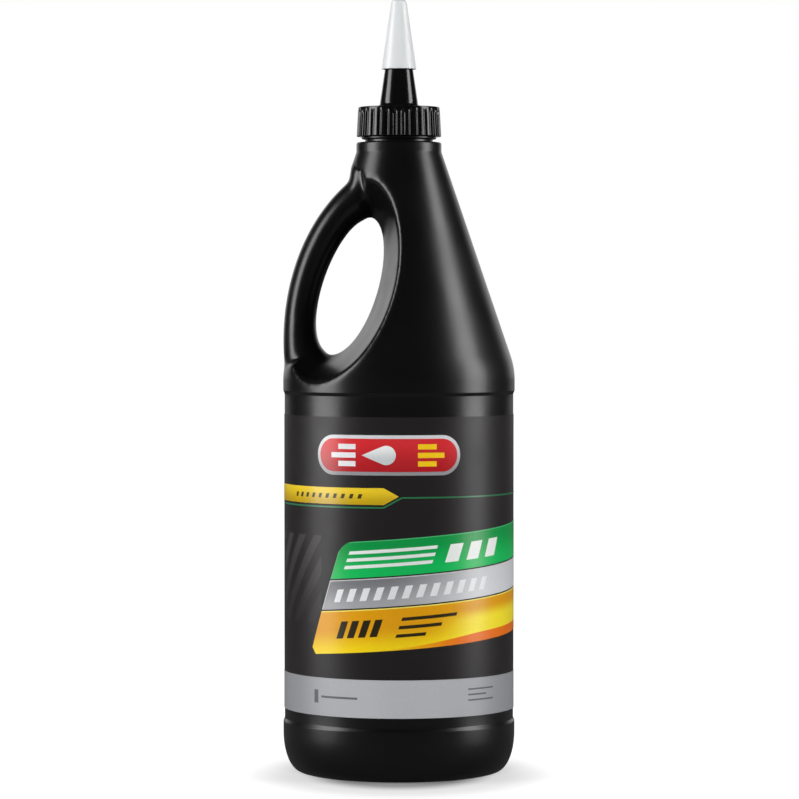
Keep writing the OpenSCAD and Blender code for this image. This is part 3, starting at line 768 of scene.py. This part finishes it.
footBand = printField("footBand", [(-backEdge, 0), (backEdge, 0), (backEdge, 13.9), (-backEdge, 13.9)], 0)
material, tree, shader = newMaterial("silverBandInk")
s, h = labelPoint(tree)
marks = [bar(tree, s, h, -34.5, -32.5, 4.6, 9.4), bar(tree, s, h, -31, -15.5, 6.6, 7.4)]
marks += [bar(tree, s, h, 27, 40 - 4 * (k % 2), 9.6 - 2 * k, 10.2 - 2 * k) for k in range(3)]
# painted sheen: the silver band is painted lighter at the front and darker towards the sides
glow = ramp(tree, calc(tree, "ABSOLUTE", s), 6, 46)
band = blendColor(tree, glow, srgb(190, 191, 195), srgb(152, 153, 157))
mark = calc(tree, "MULTIPLY", anyOf(tree, marks), 0.75)
inkFinish(tree, shader, blendColor(tree, mark, band, srgb(40, 40, 42)), 0.36)
dress(footBand, material, "foot_band")

# sizes of the badge: its middle above the film's foot and off the front, and the drop as shares of it
badge = {"up": 95.6, "x": -4.6, "width": 56.0, "height": 14.6, "rim": 1.3, "drop": 0.24, "tail": 2.6}
badgeUp, badgeX = badge["up"], badge["x"]


def capsule(width, height):
    return [(badgeX - width / 2, badgeUp - height / 2), (badgeX + width / 2, badgeUp - height / 2),
            (badgeX + width / 2, badgeUp + height / 2), (badgeX - width / 2, badgeUp + height / 2)], [height * 0.499] * 4


corners, roundings = capsule(badge["width"], badge["height"])
badgeRim = printField("badgeRim", corners, 0, roundings)
material, tree, shader = newMaterial("silverRimInk")
s, h = labelPoint(tree)
rim = blendColor(tree, ramp(tree, h, badgeUp - 7, badgeUp + 7), srgb(150, 150, 154), srgb(216, 216, 220))
inkFinish(tree, shader, rim, 0.26)
dress(badgeRim, material, "badge_rim_print")
corners, roundings = capsule(badge["width"] - 2 * badge["rim"], badge["height"] - 2 * badge["rim"])
badgeField = printField("badgeField", corners, 1, roundings)
material, tree, shader = newMaterial("redInk")
s, h = labelPoint(tree)
away = calc(tree, "ABSOLUTE", calc(tree, "SUBTRACT", s, badgeX))
lines = [bar(tree, away, h, 11.5, 21.5 - 3 * abs(k), badgeUp - 0.95 + k * 3.1, badgeUp + 0.95 + k * 3.1)
         for k in (-1, 0, 1)]
red = blendColor(tree, ramp(tree, h, badgeUp - 6, badgeUp + 6), srgb(176, 24, 32), srgb(216, 42, 48))
lineColor = blendColor(tree, calc(tree, "GREATER_THAN", s, badgeX), srgb(232, 232, 234), srgb(250, 206, 26))
inkFinish(tree, shader, blendColor(tree, anyOf(tree, lines), red, lineColor), 0.32)
dress(badgeField, material, "badge_field")
dropR = badge["height"] * badge["drop"]
dropCorners = [(badgeX - dropR * badge["tail"], badgeUp)]
turn = math.acos(1 / badge["tail"])
for i in range(25):
    a = -(math.pi - turn) + 2 * (math.pi - turn) * i / 24
    dropCorners.append((badgeX + dropR * math.cos(a), badgeUp + dropR * math.sin(a)))
badgeDrop = printField("badgeDrop", dropCorners, 2)
material, tree, shader = newMaterial("whiteInk")
s, h = labelPoint(tree)
white = blendColor(tree, ramp(tree, h, badgeUp - 2, badgeUp + 3), srgb(206, 210, 212), srgb(246, 246, 246))
inkFinish(tree, shader, white, 0.26)
dress(badgeDrop, material, "badge_drop")

ribbon = {"up": 77.6, "height": 6.1, "point": 5.5, "lineGap": 1.3, "lineW": 0.55}
bannerUp, bannerTop, notch = ribbon["up"], ribbon["up"] + ribbon["height"], -ribbon["point"]
banner = printField("banner", [(-backEdge, bannerUp), (notch, bannerUp), (0, bannerUp + ribbon["height"] / 2),
                               (notch, bannerTop), (-backEdge, bannerTop)], 0)
material, tree, shader = newMaterial("yellowBannerInk")
s, h = labelPoint(tree)
dash = calc(tree, "FRACT", calc(tree, "MULTIPLY", calc(tree, "SUBTRACT", s, calc(tree, "MULTIPLY", h, 0.36)), 1 / 3.4))
row = bar(tree, s, h, -46, -12, bannerUp + 2.2, bannerUp + 3.9)
dashes = calc(tree, "MULTIPLY", calc(tree, "LESS_THAN", dash, 0.42), row)
yellow = blendColor(tree, ramp(tree, h, bannerUp, bannerUp + 6), srgb(196, 160, 12), srgb(240, 206, 38))
inkFinish(tree, shader, blendColor(tree, dashes, yellow, srgb(60, 52, 20)), 0.32)
dress(banner, material, "banner_print")
low, lineW = bannerUp - ribbon["lineGap"], ribbon["lineW"]
bannerLine = printField("bannerLine", [
    (-backEdge, low), (notch, low), (1.2, low + 3.65), (backEdge, low + 3.65), (backEdge, low + 3.65 + lineW),
    (1.0, low + 3.65 + lineW), (notch - 0.2, low + lineW), (-backEdge, low + lineW)], 0)
material, tree, shader = newMaterial("greenLineInk")
s, h = labelPoint(tree)
inkFinish(tree, shader, blendColor(tree, ramp(tree, s, -40, 30), srgb(46, 122, 80), srgb(38, 112, 70)), 0.34)
dress(bannerLine, material, "banner_line")


def stackPanel(name, low, height, roundings, chamfer=0.0):
    k = math.tan(math.radians(label["slope"]))
    x0 = label["stackLeft"] + label["lean"] * (low - label["stackUp"])
    x1 = x0 + label["lean"] * height
    x2 = 75.6
    corners = [(x0, low + k * x0), (x2, low + k * x2), (x2, low + height + k * x2), (x1, low + height + k * x1)]
    if chamfer:
        foot = (x0 + chamfer, low + k * (x0 + chamfer))
        side = (x0 + chamfer * label["lean"] * 0.9, low + chamfer + k * x0)
        corners = [foot, *corners[1:], side]
    return printField(name, corners, 0, roundings)


def panelEdge(tree, s, up, left, height, width=0.35):
    # the pale outline along the top and the left of a panel
    top = calc(tree, "GREATER_THAN", up, height - width)
    side = calc(tree, "LESS_THAN", s, left + width)
    return calc(tree, "MAXIMUM", top, side)


greenUp = label["stackUp"] + 27.2
greenPanel = stackPanel("greenPanel", greenUp, 13.2, [0, 0, 0, 4.6])
material, tree, shader = newMaterial("greenPanelInk")
s, up = stackPoint(tree, greenUp)
left = label["stackLeft"] + label["lean"] * 27.2
green = blendColor(tree, ramp(tree, up, 1, 12), srgb(6, 188, 90), srgb(0, 150, 68))
shapes = [bar(tree, s, up, 16 + 9 * k, 21.5 + 9 * k, 3.2, 9.6) for k in range(3)]
shapes += [bar(tree, s, up, -22, 11, 3.4 + 2.6 * k, 4.6 + 2.6 * k) for k in range(3)]
paint = blendColor(tree, panelEdge(tree, s, up, left, 13.2), green, srgb(72, 186, 116))
inkFinish(tree, shader, blendColor(tree, anyOf(tree, shapes), paint, srgb(236, 240, 236)), 0.33)
dress(greenPanel, material, "green_panel")

silverUp = label["stackUp"] + 16.1
silverPanel = stackPanel("silverPanel", silverUp, 10.6, [0, 0, 0, 0])
material, tree, shader = newMaterial("silverPanelInk")
s, up = stackPoint(tree, silverUp)
left = label["stackLeft"] + label["lean"] * 16.1
brushed = noise(tree, 400, 3, 0.6, (1.0, 1.0, 14.0))
silver = blendColor(tree, ramp(tree, up, 0.5, 10), srgb(168, 169, 172), srgb(122, 123, 127))
silver = blendColor(tree, ramp(tree, s, -10, 40, 0.0, 0.85), silver, srgb(226, 227, 230))
silver = blendColor(tree, ramp(tree, brushed, 0.3, 0.7, 0.0, 0.07), silver, srgb(90, 91, 95))
shapes = [bar(tree, s, up, -26 + 5.2 * k, -23.4 + 5.2 * k, 2.6, 7.2) for k in range(12)]
paint = blendColor(tree, panelEdge(tree, s, up, left, 10.6), silver, srgb(206, 206, 208))
inkFinish(tree, shader, blendColor(tree, anyOf(tree, shapes), paint, srgb(234, 234, 236)), 0.34)
dress(silverPanel, material, "silver_panel")

yellowPanel = stackPanel("yellowPanel", label["stackUp"], 15.6, None, 2.6)
material, tree, shader = newMaterial("yellowPanelInk")
s, up = stackPoint(tree, label["stackUp"])
yellow = blendColor(tree, ramp(tree, up, 0, 9), srgb(252, 218, 16), srgb(229, 160, 2))
# painted highlight: the yellow is painted lighter on the panel's right side, below its top edge
paintedShine = calc(tree, "MULTIPLY", ramp(tree, s, 6, 30), ramp(tree, up, 13, 8))
yellow = blendColor(tree, paintedShine, yellow, srgb(254, 232, 44))
strip = calc(tree, "MULTIPLY", calc(tree, "LESS_THAN", up, ramp(tree, s, -6, 36, 0.4, 3.4)), ramp(tree, s, -14, 26))
yellow = blendColor(tree, strip, yellow, srgb(238, 116, 12))
yellow = blendColor(tree, calc(tree, "GREATER_THAN", up, 15.2), yellow, srgb(252, 236, 110))
shapes = [bar(tree, s, up, -26 + 4.4 * k, -23.2 + 4.4 * k, 5.4, 11.6) for k in range(4)]
shapes += [bar(tree, s, up, -3, 18 - 5 * k, 10.6 - 3.0 * k, 11.8 - 3.0 * k) for k in range(3)]
inkFinish(tree, shader, blendColor(tree, anyOf(tree, shapes), yellow, srgb(40, 34, 16)), 0.32)
dress(yellowPanel, material, "yellow_panel")
print("stage: label")

# floor, backdrop and lights
studio = {"floorShade": 0.38, "floorBounce": 0.16, "floorGlow": 0.89, "leftStrip": 15.0, "rightStrip": 12.6,
          "front": 9.9, "ambient": 0.015, "backdrop": 0.9}
deselectAll()
bpy.ops.mesh.primitive_plane_add(size=12, location=(0, 0, 0))
floor = bpy.context.object
floor.name = "floor"
material = bpy.data.materials.new("paleFloor")
material.use_nodes = True
tree = material.node_tree
tree.nodes.clear()
out = tree.nodes.new("ShaderNodeOutputMaterial")
diffuse = tree.nodes.new("ShaderNodeBsdfDiffuse")
glow = tree.nodes.new("ShaderNodeEmission")
both = tree.nodes.new("ShaderNodeAddShader")
path = tree.nodes.new("ShaderNodeLightPath")
seen, bounce = (studio["floorShade"],) * 3 + (1,), (studio["floorBounce"],) * 3 + (1,)
put(tree, diffuse.inputs["Color"], blendColor(tree, path.outputs["Is Camera Ray"], bounce, seen))
parts = objectPoint(tree)[1]
# painted shadow: the floor's glow is weaker close round the foot, and more so in front of it, as a contact shadow
wide, deep = calc(tree, "MULTIPLY", parts[0], 1.25), calc(tree, "ADD", parts[1], 0.017)
apart = calc(tree, "SQRT", calc(tree, "MULTIPLY_ADD", wide, wide, calc(tree, "MULTIPLY", deep, deep)))
paintedShadow = calc(tree, "MULTIPLY_ADD", ramp(tree, apart, 0.028, 0.046), 0.56, ramp(tree, apart, 0.044, 0.084, 0.0, 0.44))
further = ramp(tree, apart, 0.08, 0.4, 0.0, 1 - studio["floorGlow"])
white = calc(tree, "MULTIPLY_ADD", paintedShadow, studio["floorGlow"], further)
put(tree, glow.inputs["Strength"], calc(tree, "MULTIPLY", path.outputs["Is Camera Ray"], white))
tree.links.new(diffuse.outputs[0], both.inputs[0])
tree.links.new(glow.outputs[0], both.inputs[1])
tree.links.new(both.outputs[0], out.inputs["Surface"])
floor.data.materials.append(material)

world = bpy.data.worlds.new("studioWorld")
bpy.context.scene.world = world
world.use_nodes = True
tree = world.node_tree
tree.nodes.clear()
out = tree.nodes.new("ShaderNodeOutputWorld")
sky = tree.nodes.new("ShaderNodeBackground")
path = tree.nodes.new("ShaderNodeLightPath")
direction = tree.nodes.new("ShaderNodeTexCoord")
split = tree.nodes.new("ShaderNodeSeparateXYZ")
tree.links.new(direction.outputs["Generated"], split.inputs[0])
behind = ramp(tree, split.outputs[1], 0.72, 0.9)
level = calc(tree, "ADD", calc(tree, "MULTIPLY", behind, studio["backdrop"]), studio["ambient"])
put(tree, sky.inputs["Strength"], calc(tree, "MAXIMUM", path.outputs["Is Camera Ray"], level))
sky.inputs["Color"].default_value = (1, 1, 1, 1)
tree.links.new(sky.outputs[0], out.inputs["Surface"])


def softbox(name, place, aim, width, height, power):
    deselectAll()
    bpy.ops.object.light_add(type="AREA", location=place)
    lamp = bpy.context.object
    lamp.name = name
    lamp.data.shape = "RECTANGLE"
    lamp.data.size = width
    lamp.data.size_y = height
    lamp.data.energy = power
    lamp.rotation_euler = (Vector(aim) - Vector(place)).to_track_quat("-Z", "Y").to_euler()
    lamp.visible_camera = False
    return lamp


softbox("stripLeft", (-0.97, -0.21, 0.2), (0, 0, 0.2), 0.52, 1.5, studio["leftStrip"])
softbox("stripRight", (0.98, -0.17, 0.2), (0, 0, 0.2), 0.42, 1.5, studio["rightStrip"])
frontFill = softbox("frontFill", (0, -1.15, 0.62), (0, 0, 0.12), 0.9, 0.7, studio["front"])
frontFill.visible_glossy = False

deselectAll()
bpy.ops.object.camera_add(location=(0.0002, -1.394, 0.178), rotation=(math.radians(88.38), 0, 0))
camera = bpy.context.object
camera.data.lens = 168.3
camera.data.sensor_width = 36
camera.data.clip_start = 0.05
bpy.context.scene.camera = camera
bpy.context.scene.view_settings.view_transform = "Standard"
print("stage: studio")
